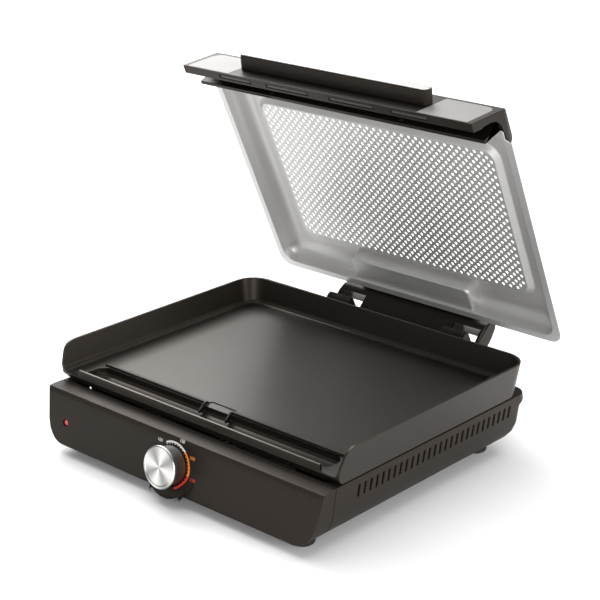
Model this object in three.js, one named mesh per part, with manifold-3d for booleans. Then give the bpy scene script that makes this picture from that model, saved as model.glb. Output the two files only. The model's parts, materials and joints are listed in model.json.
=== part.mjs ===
// Electric table-top griddle: a shallow housing on four feet, a non-stick plate with a grease trough
// at its front, and a perforated steel lid on a rear hinge with a visor and a handle at its front.
// Millimetres, +Z up, +X to the user's right, -Y towards the user.
import * as THREE from "three";
import { mergeVertices } from "three/addons/utils/BufferGeometryUtils.js";
import Module from "manifold-3d";

const wasm = await Module();
wasm.setup();

// ---------------------------------------------------------------- driving dimensions

const gap = 0.3; // between pieces that touch
const housing = {
  top: 77.6,
  bottom: 12,
  halfWidth: 220, // at the top edge
  sideDraft: 0.14, // the sides lean in by this much for each millimetre down
  front: -214.5, // at the top edge
  frontDraft: 0.19, // the front leans out by this much for each millimetre down
  rear: 157, // of the wall under the rear ledge
  rearTop: 158.5, // of the ledge at the top edge
  ledge: 163, // of the ledge where it stands out most
  ledgeHeight: 66,
  ledgeBottom: 61,
  wall: 3,
  bottomRadius: 26,
  frontRadius: 2.5,
  rearCorner: 19,
  seam: -193, // the front fascia ends here on the sides
  seamBottom: 18, // and here at the bottom of the sides
};
const vents = { count: 28, first: -153, pitch: 10.2, width: 3.3, low: 52.5, high: 68 };
const foot = { radius: 14.2, x: 175, front: -196, rear: 116 };
const plate = {
  rim: 122.2,
  halfWidth: 227, // at the rim
  rear: 150,
  skirt: 78.6, // lowest edge of the side walls
  skirtHalfWidth: 219.6,
  skirtRear: 142,
  wall: 3.4,
  floor: 88.6,
  floorThickness: 4.4,
  frontRim: 96,
  front: -191,
  frontHalfWidth: 192.7, // of the raised front rim, between the pouring corners
  troughFront: -185,
  lip: -145,
  lipTop: 91.8,
  troughFloor: 77,
  drainHalfWidth: 20,
};
const knob = { z: 44.5, radius: 25, bodyRadius: 22.6, reach: 22, shaftRadius: 3 };
const chin = { radius: 37.5, blend: 12, edge: -31.5, reach: 8.5 }; // the fascia's round ledge under the knob
const lid = {
  opening: 65.2, // degrees from closed, as built
  rear: 152, // closed, rear edge of the rim
  rim: 122.8, // closed, underside of the rim
  halfWidth: 229,
  depth: 24, // from the rim to the inside of the roof
  sheet: 1.2,
  length: 320, // from the rear edge to the end hidden in the visor
  wallFoot: 10.5, // from the outer edge to the inside of the wall, above the flange
  wallRise: 4, // straight part of the wall, under its round shoulder
  shoulder: 22.5, // the round shoulder's reach inwards, up to the roof
  corner: 18, // plan radius of the flange's corners
  fieldDepth: 18, // the perforated field hangs lower than the roof around it
  fieldHalfWidth: 181,
  fieldRear: 52.5,
  fieldFront: 267.5,
};
const hinge = { y: 181.8, z: 74, pinRadius: 3, barrel: 14 };
const visor = {
  front: 360, // from the lid's rear edge to the lowest front edge
  bottom: -44.2, // below the rim
  top: 13, // of the sloped face
  topSetback: 20,
  roof: 27.2,
  rear: 296.5,
  lip: 12,
  halfWidth: 220, // at the lowest front edge
  rearHalfWidth: 223,
};
const grip = { low: 20.8, thickness: 17, reach: 18.5, halfLength: 143, cap: 1.6 };

// ---------------------------------------------------------------- materials

const finish = (color, roughness, metalness = 0) =>
  new THREE.MeshStandardMaterial({ color, roughness, metalness });
const blackPlastic = finish(0x2e2b28, 0.55);
const softBlack = finish(0x24221f, 0.8);
const nonStick = finish(0x332f2b, 0.42, 0.1);
const stainless = finish(0xb9b7b3, 0.38, 1);
const satinSteel = finish(0xd9d7d2, 0.3, 1);
const darkSteel = finish(0x6e6c69, 0.45, 1);
const redLens = finish(0xd0203c, 0.25);
const cream = finish(0xd8d2c4, 0.7);

// ---------------------------------------------------------------- shapes and solids

// A closed three.js geometry as a solid that can be joined and cut.
function solid(geometry) {
  const bare = geometry.clone();
  bare.deleteAttribute("normal");
  bare.deleteAttribute("uv");
  const merged = mergeVertices(bare, 1e-4);
  const mesh = new wasm.Mesh({
    numProp: 3,
    vertProperties: merged.attributes.position.array,
    triVerts: new Uint32Array(merged.index.array),
  });
  return new wasm.Manifold(mesh);
}

// A solid's surface as a three.js geometry.
function surface(body) {
  const { numProp, vertProperties, triVerts } = body.getMesh();
  const geometry = new THREE.BufferGeometry();
  geometry.setAttribute("position", new THREE.BufferAttribute(new Float32Array(vertProperties), numProp));
  geometry.setIndex(new THREE.BufferAttribute(new Uint32Array(triVerts), 1));
  geometry.computeVertexNormals();
  return geometry;
}

const join = (...bodies) => bodies.reduce((a, b) => a.add(b));
const cut = (body, ...tools) => tools.reduce((a, b) => a.subtract(b), body);

function block([x0, x1], [y0, y1], [z0, z1]) {
  const box = new THREE.BoxGeometry(x1 - x0, y1 - y0, z1 - z0);
  return solid(box.translate((x0 + x1) / 2, (y0 + y1) / 2, (z0 + z1) / 2));
}

// An outline through corners [a, b, setback]; a setback rounds its corner off.
function outline(corners) {
  const shape = new THREE.Shape();
  corners.forEach(([a, b, setback = 0], i) => {
    const here = new THREE.Vector2(a, b);
    const before = new THREE.Vector2(...corners.at(i - 1));
    const after = new THREE.Vector2(...corners[(i + 1) % corners.length]);
    const start = before.sub(here).setLength(setback).add(here);
    const end = after.sub(here).setLength(setback).add(here);
    if (i === 0) shape.moveTo(start.x, start.y);
    else shape.lineTo(start.x, start.y);
    if (setback > 0) shape.quadraticCurveTo(a, b, end.x, end.y);
  });
  return shape;
}

// An outline pushed out along one axis: drawn in (y, z) for x, in (x, z) for y and in (x, y) for z.
const unitX = new THREE.Vector3(1, 0, 0);
const unitY = new THREE.Vector3(0, 1, 0);
const unitZ = new THREE.Vector3(0, 0, 1);
const pushAxes = {
  x: [unitY, unitZ, unitX],
  y: [unitX, unitZ, unitY.clone().negate()],
  z: [unitX, unitY, unitZ],
};
function push(corners, axis, from, to, steps = 5) {
  const shape = corners instanceof THREE.Shape ? corners : outline(corners);
  const geometry = new THREE.ExtrudeGeometry(shape, {
    depth: to - from,
    bevelEnabled: false,
    curveSegments: steps,
  });
  geometry.translate(0, 0, axis === "y" ? -to : from);
  return solid(geometry.applyMatrix4(new THREE.Matrix4().makeBasis(...pushAxes[axis])));
}

// A turned piece about local +Z from [radius, height] points, both ends on the axis.
function turned(profile, sides = 20) {
  const lathe = new THREE.LatheGeometry(
    profile.map(([r, h]) => new THREE.Vector2(r, h)),
    sides,
  );
  return solid(lathe.rotateX(Math.PI / 2));
}
const rod = (radius, from, to, sides = 20) =>
  turned([[0, from], [radius, from], [radius, to], [0, to]], sides);
const rodX = (radius, from, to, y, z, sides = 20) =>
  rod(radius, from, to, sides).rotate([0, 90, 0]).translate([0, y, z]);

// A rounded rectangle at one height, as a ring of points that runs anticlockwise from above.
function ring({ x, front, rear, z, frontRadius, rearRadius }) {
  const corners = [
    [x, front, frontRadius, -90],
    [x, rear, rearRadius, 0],
    [-x, rear, rearRadius, 90],
    [-x, front, frontRadius, 180],
  ];
  return corners.flatMap(([cx, cy, r, startAngle]) =>
    [0, 18, 36, 54, 72, 90].map((turn) => {
      const angle = THREE.MathUtils.degToRad(startAngle + turn);
      const px = cx - Math.sign(cx) * r + r * Math.cos(angle);
      const py = cy + (cy === front ? r : -r) + r * Math.sin(angle);
      return new THREE.Vector3(px, py, z);
    }),
  );
}

// Rings stacked from the lowest to the highest, closed at both ends.
function loft(rings) {
  const count = rings[0].length;
  const points = [];
  for (let level = 1; level < rings.length; level += 1) {
    const lower = rings[level - 1];
    const upper = rings[level];
    for (let k = 0; k < count; k += 1) {
      const next = (k + 1) % count;
      points.push(lower[k], lower[next], upper[next], lower[k], upper[next], upper[k]);
    }
  }
  const bottom = rings[0];
  const top = rings.at(-1);
  for (let k = 1; k < count - 1; k += 1) {
    points.push(bottom[0], bottom[k + 1], bottom[k], top[0], top[k], top[k + 1]);
  }
  return solid(new THREE.BufferGeometry().setFromPoints(points));
}

// ---------------------------------------------------------------- scene graph

const griddle = new THREE.Group();
const base = new THREE.Group();
const lidGroup = new THREE.Group();
griddle.add(base, lidGroup);

function piece(name, body, material, parent = base) {
  const mesh = new THREE.Mesh(surface(body), material);
  mesh.name = name;
  parent.add(mesh);
  return mesh;
}
const sides = [
  ["left", -1],
  ["right", 1],
];

// ---------------------------------------------------------------- housing

// The rear wall's place at a height: it swells out to the ledge and falls back to the top edge.
function rearAt(z) {
  const { ledgeBottom, ledgeHeight, rear, ledge, rearTop, top } = housing;
  if (z <= ledgeBottom) return rear;
  if (z <= ledgeHeight) return THREE.MathUtils.mapLinear(z, ledgeBottom, ledgeHeight, rear, ledge);
  return THREE.MathUtils.mapLinear(z, ledgeHeight, top, ledge, rearTop);
}
// The front panel's place at a height.
const frontAt = (z) => housing.front - housing.frontDraft * (housing.top - z);

// The housing's outer surface at a height, moved in by an inset.
function housingRing(z, inset = 0) {
  const down = housing.top - z;
  const up = z - housing.bottom - inset;
  const curl = (radius) => (up < radius ? radius - Math.sqrt(radius ** 2 - (radius - up) ** 2) : 0);
  const sideRadius = housing.bottomRadius - inset;
  return ring({
    x: housing.halfWidth - housing.sideDraft * down - curl(sideRadius) - inset,
    front: frontAt(z) + curl(Math.max(housing.frontRadius - inset, 0)) + inset,
    rear: rearAt(z) - curl(sideRadius) - inset,
    z,
    frontRadius: 2.5,
    rearRadius: housing.rearCorner - inset,
  });
}
const shellHeights = (inset) => {
  const start = housing.bottom + inset;
  const radius = housing.bottomRadius - inset;
  const curl = [0, 6, 14, 24, 36, 50, 66, 90].map(
    (angle) => start + radius * (1 - Math.cos(THREE.MathUtils.degToRad(angle))),
  );
  return [...curl, housing.ledgeBottom, housing.ledgeHeight];
};
const deckRoll = 6; // the rolled front edge of the deck
const outerBlock = cut(
  loft([...shellHeights(0), housing.top].map((z) => housingRing(z))),
  push(
    outline([
      [housing.front - 8, housing.top - deckRoll - 4],
      [housing.front - 8, housing.top + 4],
      [housing.front + deckRoll + 4, housing.top + 4],
      [housing.front + deckRoll + 4, housing.top],
      [housing.front + 1.4, housing.top - 1.1, 1],
      [housing.front - housing.frontDraft * deckRoll, housing.top - deckRoll],
      [housing.front - housing.frontDraft * (deckRoll + 4), housing.top - deckRoll - 4],
    ]),
    "x",
    -230,
    230,
    3,
  ),
);
const innerHeights = [...shellHeights(housing.wall), housing.top - 4];
const innerBlock = loft(innerHeights.map((z) => housingRing(z, housing.wall)));
const deckOpening = push(
  [
    [-204, -188, 8],
    [204, -188, 8],
    [204, 132, 8],
    [-204, 132, 8],
  ],
  "z",
  60,
  90,
  3,
);
const coverOpening = push(
  [
    [-150, -150, 8],
    [150, -150, 8],
    [150, 90, 8],
    [-150, 90, 8],
  ],
  "z",
  5,
  20,
  3,
);
// Lugs inside the housing's bottom hold the cover's screws.
const coverLevel = housing.bottom + 0.4;
const coverScrewPlaces = [-144, 144].flatMap((x) => [-110, 50].map((y) => [x, y]));
const coverBores = coverScrewPlaces.map(([x, y]) => rod(2, 5, 25, 12).translate([x, y, 0]));
const coverLugs = coverScrewPlaces.map(([x, y]) => {
  const span = x > 0 ? [x - 6, x + 14] : [x - 14, x + 6];
  return block(span, [y - 8, y + 8], [housing.bottom + housing.wall - 0.05, housing.bottom + 7]);
});
const shell = cut(join(cut(outerBlock, innerBlock, deckOpening, coverOpening), ...coverLugs), ...coverBores);

// The fascia's own space: the whole front down to the bottom edge, and a return on each side.
const fasciaSpace = (clear) =>
  join(
    block([-240, 240], [-260, housing.seam + clear], [housing.seamBottom - clear, 90]),
    block([-240, 240], [-260, -216 + clear], [-5, housing.seamBottom]),
  );
const ventSlots = Array.from({ length: vents.count }, (_, i) => {
  const y = vents.first + i * vents.pitch;
  const half = vents.width / 2;
  return block([-240, 240], [y - half, y + half], [vents.low, vents.high]);
});
const glandPlace = { x: -150, z: 49, radius: 6.5 };
const rearBore = (radius, x, z) => rod(radius, 140, 178, 12).rotate([-90, 0, 0]).translate([x, 0, z]);
const towerScrewX = [82, 105];
const towerBores = sides.flatMap(([, side]) => towerScrewX.map((x) => rearBore(2.3, side * x, 69)));
const glandBore = rearBore(glandPlace.radius + gap, glandPlace.x, glandPlace.z);
const baseHousing = cut(shell, fasciaSpace(gap), ...ventSlots, glandBore, ...towerBores);
piece("base_housing", baseHousing, blackPlastic);

// The knob's own axes: local +Z leans up with the panel's normal, local +Y runs up the panel.
const panelLean = Math.atan(housing.frontDraft);
const dial = new THREE.Group();
dial.position.set(0, frontAt(knob.z), knob.z);
dial.rotation.x = Math.PI / 2 - panelLean;
base.add(dial);
const onPanel = (body) =>
  body
    .rotate([90 - THREE.MathUtils.radToDeg(panelLean), 0, 0])
    .translate([0, frontAt(knob.z), knob.z]);

// The chin is a round lobe about the knob's axis: it slopes out of the panel under the knob and
// hangs below the bottom edge, blended into it on each side.
const blendX = Math.sqrt((chin.radius + chin.blend) ** 2 - (chin.edge - chin.blend) ** 2);
const blendTurn = Math.atan2(blendX, chin.blend - chin.edge);
const lobe = new THREE.Shape();
lobe.absarc(0, 0, chin.radius, 0, 2 * Math.PI);
const lobeFoot = new THREE.Shape();
lobeFoot.moveTo(-blendX, -20);
lobeFoot.lineTo(-blendX, chin.edge);
lobeFoot.absarc(-blendX, chin.edge - chin.blend, chin.blend, Math.PI / 2, Math.PI / 2 - blendTurn, true);
lobeFoot.absarc(0, 0, chin.radius, -Math.PI / 2 - blendTurn, -Math.PI / 2 + blendTurn, false);
lobeFoot.absarc(blendX, chin.edge - chin.blend, chin.blend, Math.PI / 2 + blendTurn, Math.PI / 2, true);
lobeFoot.lineTo(blendX, -20);
const chinSlope = push(
  [
    [-45, -9],
    [-20, -9],
    [-20, -2.5],
    [-8, -2.5],
    [-8, -0.02],
    [-12, 0.4, 4],
    [-29, chin.reach, 6],
    [-45, chin.reach + 0.6],
  ],
  "x",
  -45,
  45,
  4,
);
const chinBody = onPanel(
  join(push(lobe, "z", -9, 12, 12), push(lobeFoot, "z", -9, 12, 8)).intersect(chinSlope),
);
const lens = { x: -183.5, up: -3.9, radius: 4.2 };
const lensBore = onPanel(rod(lens.radius + gap, -12, 6, 16).translate([lens.x, lens.up, 0]));
const fascia = cut(
  join(shell.intersect(fasciaSpace(0)), chinBody),
  onPanel(rod(knob.bodyRadius + 1, 0, 20, 36)),
  onPanel(rod(6.6, -15, 10)),
  lensBore,
);
piece("front_fascia", fascia, blackPlastic);

const bottomCover = cut(
  push(
    [
      [-150 + gap, -150 + gap, 8],
      [150 - gap, -150 + gap, 8],
      [150 - gap, 90 - gap, 8],
      [-150 + gap, 90 - gap, 8],
    ],
    "z",
    coverLevel,
    coverLevel + 2.2,
    3,
  ),
  ...[-90, -60, -30, 0, 30].map((y) => block([-70, 70], [y - 2.5, y + 2.5], [0, 30])),
);
piece("bottom_cover", cut(bottomCover, ...coverBores), softBlack);

// A screw with its head at the origin and its shank along +Z.
function screw(headRadius, headHeight, shankRadius, length) {
  const profile = [
    [0, 0],
    [headRadius, 0],
    [headRadius, headHeight],
    [shankRadius, headHeight],
    [shankRadius, length],
    [0, length],
  ];
  return turned(profile, 12);
}
coverScrewPlaces.forEach(([x, y], i) => {
  const body = screw(3.4, 1.8, 1.6, 8).translate([x, y, coverLevel - gap - 1.8]);
  piece(`cover_screw_${i + 1}`, body, darkSteel);
});

const footProfile = [
  [0, 0],
  [foot.radius - 2.6, 0],
  [foot.radius - 0.9, 1.1],
  [foot.radius, 3.6],
  [foot.radius - 0.4, 11.7],
  [0, 11.7],
];
[
  ["front_left", -foot.x, foot.front],
  ["front_right", foot.x, foot.front],
  ["rear_left", -foot.x, foot.rear],
  ["rear_right", foot.x, foot.rear],
].forEach(([place, x, y]) => {
  piece(`foot_${place}`, turned(footProfile, 28).translate([x, y, 0]), softBlack);
});

// ---------------------------------------------------------------- griddle plate

const plateRing = (z, inset = 0) => {
  const rise = (z - plate.skirt) / (plate.rim - plate.skirt);
  const lean = (low, high) => low + (high - low) * rise;
  return ring({
    x: lean(plate.skirtHalfWidth, plate.halfWidth) - inset,
    front: -240,
    rear: lean(plate.skirtRear, plate.rear) - inset,
    z,
    frontRadius: 2,
    rearRadius: lean(22, 30) - inset,
  });
};
// Side view of the front: the walls curve down to the low front rim and lean in below it.
const plateSide = push(
  [
    [200, plate.skirt - 1],
    [200, plate.rim + 1],
    [-166, plate.rim + 1],
    [-166, plate.rim],
    [-182, plate.rim - 1.5, 12],
    [plate.front + 0.4, 97, 3],
    [plate.front + 0.6, 86],
    [-183.6, plate.skirt],
    [-183.6, plate.skirt - 1],
  ],
  "x",
  -240,
  240,
  8,
);
const wallBlend = 5;
const cavity = loft([
  plateRing(plate.floor, plate.wall + wallBlend),
  plateRing(plate.floor + 1.2, plate.wall + 2.2),
  plateRing(plate.floor + wallBlend, plate.wall),
  plateRing(plate.rim + 1, plate.wall),
]);
const underside = loft([
  plateRing(plate.skirt - 1, plate.wall),
  plateRing(plate.floor - plate.floorThickness, plate.wall + 1),
]).intersect(block([-240, 240], [plate.lip + 1, 200], [60, 90]));
const plateBlank = cut(
  loft([plateRing(plate.skirt), plateRing(plate.rim)]).intersect(plateSide),
  cavity,
  underside,
);
// The front bar: a raised rim between the pouring corners, on a shelf that runs to the side walls.
const frontBar = push(
  [
    [plate.front + 2.2, 88],
    [plate.front + 1.9, plate.frontRim - 0.6, 0.5],
    [plate.troughFront - 1.4, plate.frontRim, 0.8],
    [plate.troughFront - 0.6, 88],
  ],
  "x",
  -plate.frontHalfWidth,
  plate.frontHalfWidth,
  3,
);
const lipBar = push(
  [
    [plate.lip - 3, 84],
    [plate.lip - 2, plate.lipTop, 1],
    [plate.lip + 1.6, plate.lipTop - 0.4, 1],
    [plate.lip + 6, plate.floor - 0.6],
    [plate.lip + 6, 84],
  ],
  "x",
  -192,
  192,
  3,
);
const troughHalfWidth = 190;
const trough = loft(
  [
    [plate.troughFloor, 8],
    [plate.troughFloor + 1.5, 3.5],
    [plate.troughFloor + 5, 1],
    [plate.frontRim + 3, 0],
  ].map(([z, inset]) =>
    ring({
      x: troughHalfWidth + 5 - inset,
      front: plate.troughFront + inset,
      rear: plate.lip - 2.5 - inset,
      z,
      frontRadius: 14 - inset,
      rearRadius: 14 - inset,
    }),
  ),
);
const troughBody = push(
  [
    [-187.4, 84],
    [-187.4, plate.troughFloor + 1, 5],
    [-180, plate.troughFloor - 2.6, 3],
    [plate.lip - 8, plate.troughFloor - 2.6, 3],
    [plate.lip + 2, plate.troughFloor + 2, 5],
    [plate.lip + 3, 86],
  ],
  "x",
  -198,
  198,
  3,
);
const drain = push(
  [
    [-plate.drainHalfWidth, 130],
    [-plate.drainHalfWidth, plate.floor - 1.2, 2],
    [plate.drainHalfWidth, plate.floor - 1.2, 2],
    [plate.drainHalfWidth, 130],
  ],
  "y",
  plate.lip - 8,
  plate.lip + 9,
  3,
);
const chuteHeight = 3; // side fences of the chute that leads the grease into the trough
const chute = join(
  ...sides.map(([, side]) =>
    push(
      [
        [plate.lip - 12, plate.troughFloor + 3],
        [plate.lip - 12, plate.floor - 5],
        [plate.lip - 2, plate.floor + chuteHeight],
        [plate.lip + 1, plate.floor + chuteHeight],
        [plate.lip + 1, plate.troughFloor + 3],
      ],
      "x",
      side > 0 ? plate.drainHalfWidth : -plate.drainHalfWidth - 2.4,
      side > 0 ? plate.drainHalfWidth + 2.4 : -plate.drainHalfWidth,
    ),
  ),
);
const platePiece = join(cut(join(plateBlank, frontBar, lipBar, troughBody), trough, drain), chute);
piece("griddle_plate", platePiece, nonStick);

// ---------------------------------------------------------------- heating and control

const reflectorOuter = { x: 186, front: -132, rear: 124, z: 56 };
const reflector = cut(
  block(
    [-reflectorOuter.x, reflectorOuter.x],
    [reflectorOuter.front, reflectorOuter.rear],
    [reflectorOuter.z, reflectorOuter.z + 14],
  ),
  block(
    [-reflectorOuter.x + 1.2, reflectorOuter.x - 1.2],
    [reflectorOuter.front + 1.2, reflectorOuter.rear - 1.2],
    [reflectorOuter.z + 1.2, reflectorOuter.z + 20],
  ),
);
piece("heat_reflector", reflector, stainless);

// The element lies in three long loops just under the plate; its ends turn down at the rear.
const element = { radius: 3.2, z: 79.8, x: 150, rows: [-100, -50, 0, 50, 100] };
const elementPath = new THREE.CurvePath();
const rowEnds = element.rows.map((y, i) => [i % 2 ? 1 : -1, y]);
const at = (x, y, z = element.z) => new THREE.Vector3(x, y, z);
const firstRow = element.rows[0];
const endX = element.x + 14; // where the two ends stand upright
elementPath.add(new THREE.LineCurve3(at(-endX, firstRow, 64), at(-endX, firstRow, 72)));
elementPath.add(
  new THREE.QuadraticBezierCurve3(at(-endX, firstRow, 72), at(-endX, firstRow), at(-element.x, firstRow)),
);
rowEnds.forEach(([side, y], i) => {
  elementPath.add(new THREE.LineCurve3(at(side * element.x, y), at(-side * element.x, y)));
  if (i === rowEnds.length - 1) return;
  const next = element.rows[i + 1];
  const reach = -side * (element.x + 28);
  const turn = -side * element.x;
  elementPath.add(
    new THREE.CubicBezierCurve3(at(turn, y), at(reach, y), at(reach, next), at(turn, next)),
  );
});
const lastRow = element.rows.at(-1);
elementPath.add(
  new THREE.QuadraticBezierCurve3(at(element.x, lastRow), at(endX, lastRow), at(endX, lastRow, 72)),
);
elementPath.add(new THREE.LineCurve3(at(endX, lastRow, 72), at(endX, lastRow, 64)));
const tubeSection = new THREE.Shape();
tubeSection.absarc(0, 0, element.radius, 0, 2 * Math.PI);
const elementTube = new THREE.ExtrudeGeometry(tubeSection, {
  steps: 64,
  curveSegments: 4,
  extrudePath: elementPath,
});
piece("heating_element", solid(elementTube), darkSteel);

[
  ["front_left", -90, -100],
  ["front_right", 90, -100],
  ["rear_left", -90, 100],
  ["rear_right", 90, 100],
].forEach(([place, x, y]) => {
  const post = join(
    block([x - 5, x + 5], [y - 7, y + 7], [57.5, 59]),
    block([x - 4, x + 4], [y - 1, y + 1], [57.5, element.z - element.radius - gap]),
  );
  piece(`element_clip_${place}`, post, stainless);
});

const thermostat = join(
  onPanel(block([-17, 17], [-15, 15], [-36, -8])),
  onPanel(rod(6, -9, 4, 16)),
);
piece("thermostat_body", cut(thermostat, onPanel(rod(knob.shaftRadius + gap, -30, 10))), cream);
piece(
  "thermostat_nut",
  onPanel(cut(rod(10, gap, 3.3, 6), rod(6.4, 0, 5, 16))),
  darkSteel,
);
const turning = new THREE.Group();
dial.add(turning);
piece("control_shaft", rod(knob.shaftRadius, -26, 12), darkSteel, turning);
const knobBody = cut(
  turned(
    [
      [0, 5],
      [14, 5],
      [14, 1.5],
      [knob.bodyRadius, 1.5],
      [knob.bodyRadius, knob.reach - 4.6],
      [0, knob.reach - 4.6],
    ],
    36,
  ),
  rod(knob.shaftRadius + gap, -5, 12.3),
);
piece("knob_body", knobBody, darkSteel, turning);
const knobFace = turned(
  [
    [0, knob.reach - 4.3],
    [knob.radius - 0.9, knob.reach - 4.3],
    [knob.radius, knob.reach - 3.4],
    [knob.radius, knob.reach - 1.2],
    [knob.radius - 1.4, knob.reach],
    [knob.radius - 3.2, knob.reach],
    [knob.radius - 4, knob.reach - 0.8],
    [0, knob.reach - 0.8],
  ],
  48,
);
piece("knob_face", knobFace, satinSteel, turning);

const lensBody = onPanel(
  turned(
    [
      [0, -7],
      [lens.radius, -7],
      [lens.radius, -2.6],
      [lens.radius - 1, -1.5],
      [0, -1.1],
    ],
    20,
  ).translate([lens.x, lens.up, 0]),
);
piece("indicator_lens", lensBody, redLens);
piece("indicator_lamp", onPanel(rod(3, -24, -7.4, 12).translate([lens.x, lens.up, 0])), cream);

const terminalBlock = cut(
  block([-132, -88], [118, 140], [22, 38]),
  ...[-122, -110, -98].map((x) => rod(2.2, 28, 45, 10).translate([x, 129, 0])),
);
piece("terminal_block", terminalBlock, cream);
piece("thermal_fuse", rodX(3.4, -20, 14, 60, 51.5, 12), cream);
const glandBody = cut(
  join(
    rod(glandPlace.radius, 148, 166, 16),
    rod(glandPlace.radius + 3, housing.rear + gap, 161, 16),
    rod(glandPlace.radius + 2, 149, housing.rear - housing.wall - gap, 16),
  ),
  rod(3.6, 140, 180, 12),
)
  .rotate([-90, 0, 0])
  .translate([glandPlace.x, 0, glandPlace.z]);
piece("cord_gland", glandBody, softBlack);

// ---------------------------------------------------------------- hinge towers and pins

const towerProfile = [
  [housing.ledge + gap, 63],
  [188, 63, 4],
  [hinge.y + hinge.barrel, hinge.z, 6],
  [191, 98, 10],
  [180, 119, 5],
  [171, 114.5, 4],
  [166, 96, 10],
  [housing.rearTop + 2 * gap, 84],
  [housing.rearTop + 2 * gap, housing.top],
  [housing.ledge + gap, housing.ledgeHeight],
];
sides.forEach(([place, side]) => {
  const span = side > 0 ? [75, 112] : [-112, -75];
  const tower = cut(
    push(towerProfile, "x", ...span, 4),
    rodX(hinge.pinRadius + gap, -130, 130, hinge.y, hinge.z),
    ...towerScrewX.map((x) => rearBore(1.9, side * x, 69)),
  );
  piece(`hinge_tower_${place}`, tower, blackPlastic);
  towerScrewX.forEach((x, i) => {
    const shank = screw(4, 2, 1.6, 18).rotate([-90, 0, 0]);
    const inside = rearAt(74) - housing.wall - gap - 2;
    piece(`tower_screw_${place}_${i + 1}`, shank.translate([side * x, inside, 69]), darkSteel);
  });
  const pin = join(
    rodX(hinge.pinRadius, 60, 118.2, hinge.y, hinge.z),
    rodX(5.4, 117.8, 120, hinge.y, hinge.z),
  );
  const washer = cut(
    rodX(9, 112.3, 113.2, hinge.y, hinge.z),
    rodX(hinge.pinRadius + gap, 100, 120, hinge.y, hinge.z),
  );
  const mirrored = (body) => (side > 0 ? body : body.mirror([1, 0, 0]));
  piece(`hinge_pin_${place}`, mirrored(pin), darkSteel);
  piece(`friction_washer_${place}`, mirrored(washer), darkSteel);
});

// ---------------------------------------------------------------- lid, drawn closed and then opened

// Lid measures run forwards from the rear edge and up from the underside of the rim.
const lidY = (forward) => lid.rear - forward;
const lidZ = (up) => lid.rim + up;
const fromLid = (corners) => corners.map(([forward, up, setback]) => [lidY(forward), lidZ(up), setback]);
function lidRing(up, x, rearEdge, frontEdge, radius) {
  return ring({
    x,
    front: lidY(frontEdge),
    rear: lidY(rearEdge),
    z: lidZ(up),
    frontRadius: radius,
    rearRadius: radius,
  });
}
// The wall stands up from the flange and rounds over into the roof; a growth moves it outwards.
function wallRings(grow, foot) {
  const wallRing = (inset, up, radius) =>
    lidRing(up, lid.halfWidth - inset, inset, lid.length - inset, radius);
  const roofInset = lid.wallFoot + lid.shoulder;
  const shoulder = [0, 18, 36, 54, 72, 90].map((turn) => {
    const angle = THREE.MathUtils.degToRad(turn);
    const inset = roofInset - (lid.shoulder + grow) * Math.cos(angle);
    const up = lid.wallRise + (lid.depth - lid.wallRise + grow) * Math.sin(angle);
    return wallRing(inset, up, lid.corner - 1 - 4 * Math.sin(angle) + grow);
  });
  return loft([wallRing(lid.wallFoot - 1 - grow, foot, lid.corner - 1 + grow), ...shoulder]);
}
const flangeRing = (up, grow) =>
  lidRing(up, lid.halfWidth + grow, -grow, lid.length + grow, lid.corner + grow);
const lidBlank = (grow) =>
  join(
    loft([flangeRing(-grow, grow), flangeRing(lid.sheet + grow, grow)]),
    wallRings(lid.sheet + grow, 0),
  );
const lidInside = wallRings(0, -1);
// The flange stops short of the visor's cheeks at its front corners.
const flangeEnds = sides.map(([, side]) =>
  push(
    [
      [side * 220.8, lidY(307)],
      [side * 232, lidY(300)],
      [side * 232, lidY(326)],
      [side * 220.8, lidY(326)],
    ],
    "z",
    lidZ(-1),
    lidZ(3),
  ),
);
const bevel = 7.2;
const field = (up, grow) =>
  lidRing(up, lid.fieldHalfWidth + grow, lid.fieldRear - grow, lid.fieldFront + grow, 14 + grow);
const fieldDrop = loft([field(lid.fieldDepth, 0), field(lid.depth + 0.2, bevel)]);
const fieldRecess = loft([field(lid.fieldDepth + lid.sheet, -0.6), field(lid.depth + lid.sheet + 0.2, bevel - 0.6)]);
const pocket = { rear: 7.4, front: 44, halfWidth: 97, depth: 3.4 };
const pocketDrop = loft([
  lidRing(pocket.depth, pocket.halfWidth - 3, pocket.rear, pocket.front - 2, 7),
  lidRing(pocket.depth + 3, pocket.halfWidth, pocket.rear, pocket.front, 9),
  lidRing(lid.depth + 0.2, pocket.halfWidth + 1, pocket.rear, pocket.front + 3, 9),
]);
const pocketRecess = loft([
  lidRing(pocket.depth + lid.sheet, pocket.halfWidth - 4, -4, pocket.front - 3.2, 6),
  lidRing(pocket.depth + 3.4, pocket.halfWidth - 1.2, -4, pocket.front - 1.2, 8),
  lidRing(lid.depth + 3, pocket.halfWidth - 0.2, -4, pocket.front + 1.8, 8),
]);
// Four studs stand on the pocket's floor, for the nuts that hold the hinge bracket.
const stud = { x: [-60, -20, 20, 60], forward: 30, radius: 1.6, length: 14 };
const pocketTop = lidZ(pocket.depth + lid.sheet);
const onStuds = (body) => stud.x.map((x) => body.translate([x, lidY(stud.forward), pocketTop]));
const lidSheet = cut(
  cut(lidBlank(0), cut(lidInside, fieldDrop, pocketDrop)),
  fieldRecess,
  pocketRecess,
  ...flangeEnds,
);
const studs = onStuds(rod(stud.radius, -lid.sheet / 2, stud.length, 12));
piece("lid_pan", join(lidSheet, ...studs), stainless, lidGroup);

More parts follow.
